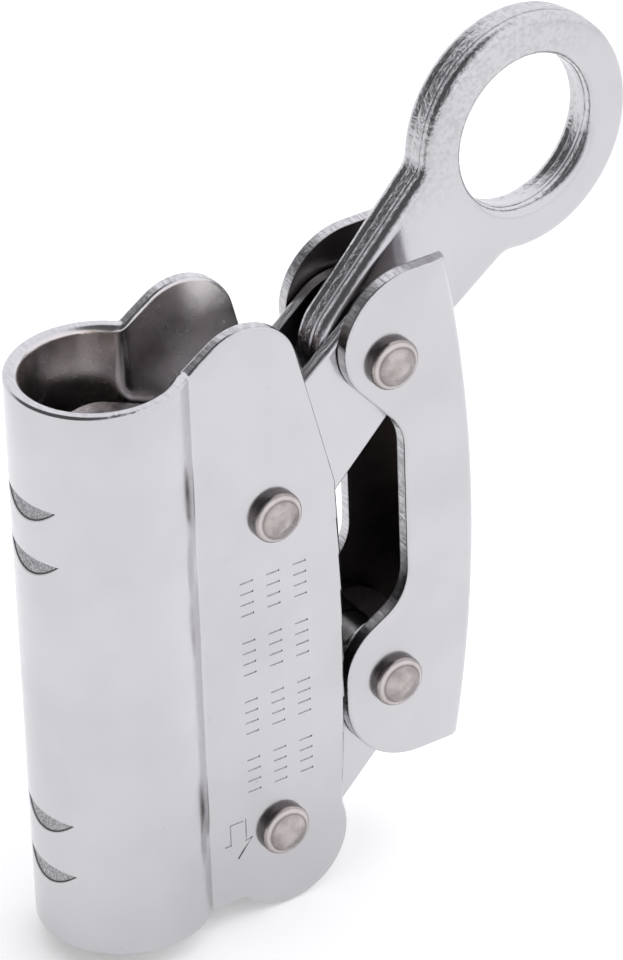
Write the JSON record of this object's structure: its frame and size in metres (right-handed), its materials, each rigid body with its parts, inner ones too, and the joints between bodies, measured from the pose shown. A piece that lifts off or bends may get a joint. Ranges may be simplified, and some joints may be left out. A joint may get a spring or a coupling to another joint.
{
  "type": "rope grab",
  "caption": "Sliding rope grab: keyhole-section sheet housing for a rope, parallel cam levers tied by a link bracket, and a connector eye on the upper link pin.",
  "frame": {"origin": "on the rope's line at the housing's lower end", "axes": "+Z along the rope towards the housing's raised cheek peaks, +X from the rope towards the levers and the link bracket, +Y along the pivot pins"},
  "size_m": [0.1189, 0.03, 0.1446],
  "materials": {
    "plated_sheet": "bright zinc-plated, satin",
    "plated_forging": "bright zinc-plated forging, satin",
    "rivet_steel": "plated rivet, soft satin",
    "washer_steel": "plain plated washer steel"
  },
  "bodies": {
    "housing": {"housing": "plated_sheet", "upper_body_rivet": "rivet_steel", "lower_body_rivet": "rivet_steel", "upper_hub_sleeve": "washer_steel", "lower_hub_sleeve": "washer_steel", "upper_near_hub_washer": "washer_steel", "upper_far_hub_washer": "washer_steel", "lower_near_hub_washer": "washer_steel", "lower_far_hub_washer": "washer_steel"},
    "upper_cam": {"upper_cam_lever": "plated_forging"},
    "lower_cam": {"lower_cam_lever": "plated_forging"},
    "link": {"link_bracket": "plated_sheet", "upper_link_rivet": "rivet_steel", "lower_link_rivet": "rivet_steel", "lower_link_sleeve": "washer_steel"},
    "eye": {"connector_eye": "plated_forging"}
  },
  "joints": [
    {"name": "upper_cam_pivot", "type": "hinge", "parent": "housing", "child": "upper_cam", "pos_m": [0.0254, 0, 0.0731], "axis": [0, 1, 0], "range_deg": [0, 44]},
    {"name": "lower_cam_pivot", "type": "hinge", "parent": "housing", "child": "lower_cam", "pos_m": [0.0246, 0, 0.0116], "axis": [0, 1, 0], "range_deg": [0, 44]},
    {"name": "link_pivot", "type": "hinge", "parent": "upper_cam", "child": "link", "pos_m": [0.04887, 0, 0.09336], "axis": [0, 1, 0], "range_deg": [-44, 0]},
    {"name": "eye_pivot", "type": "hinge", "parent": "link", "child": "eye", "pos_m": [0.04887, 0, 0.09336], "axis": [0, 1, 0], "range_deg": [-60, 0]}
  ],
  "couplings": [
    {"joint": "lower_cam_pivot", "follows": "upper_cam_pivot", "ratio": 1},
    {"joint": "link_pivot", "follows": "upper_cam_pivot", "ratio": -1}
  ]
}
